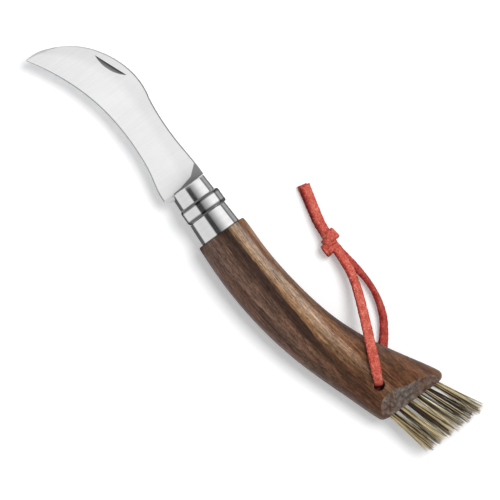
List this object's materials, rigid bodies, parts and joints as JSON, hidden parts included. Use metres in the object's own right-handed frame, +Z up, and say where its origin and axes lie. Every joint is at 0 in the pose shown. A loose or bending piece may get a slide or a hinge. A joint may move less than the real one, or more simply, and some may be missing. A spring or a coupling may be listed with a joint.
{
  "type": "mushroom knife",
  "caption": "Folding hooked blade with a locking ring in a curved wooden handle, with a bristle brush and a leather lanyard.",
  "frame": {"origin": "on the table, under the middle of the knife's box without its lanyard", "axes": "+X along the ferrule towards the open blade's tip, +Y to the side that the cutting edge faces, +Z up along the pivot pin"},
  "size_m": [0.2171, 0.0671, 0.0219],
  "materials": {
    "walnut": "oiled",
    "ferrule_steel": "polished",
    "ring_steel": "polished",
    "pin_steel": "turned",
    "blade_steel": "satin",
    "anchor_wire": "drawn wire",
    "bristle": "natural bristle",
    "red_leather": "suede"
  },
  "bodies": {
    "handle_body": {"handle": "walnut", "ferrule": "ferrule_steel", "pivot_pin": "pin_steel", "tuft_anchors": "anchor_wire", "tuft_01": "bristle", "tuft_02": "bristle", "tuft_03": "bristle", "tuft_04": "bristle", "tuft_05": "bristle", "tuft_06": "bristle", "tuft_07": "bristle", "tuft_08": "bristle", "tuft_09": "bristle", "tuft_10": "bristle", "tuft_11": "bristle", "tuft_12": "bristle", "lanyard_upper": "red_leather", "lanyard_lower": "red_leather", "lanyard_knot": "red_leather"},
    "blade_body": {"blade": "blade_steel"},
    "ring_body": {"lock_ring": "ring_steel"}
  },
  "joints": [
    {"name": "blade_fold", "type": "hinge", "parent": "handle_body", "child": "blade_body", "pos_m": [0.0213, 0.01265, 0.0105], "axis": [0, 0, 1], "range_deg": [0, 176]},
    {"name": "ring_turn", "type": "hinge", "parent": "handle_body", "child": "ring_body", "pos_m": [0.0213, 0.01025, 0.0105], "axis": [1, 0, 0], "range_deg": [0, 120]}
  ]
}
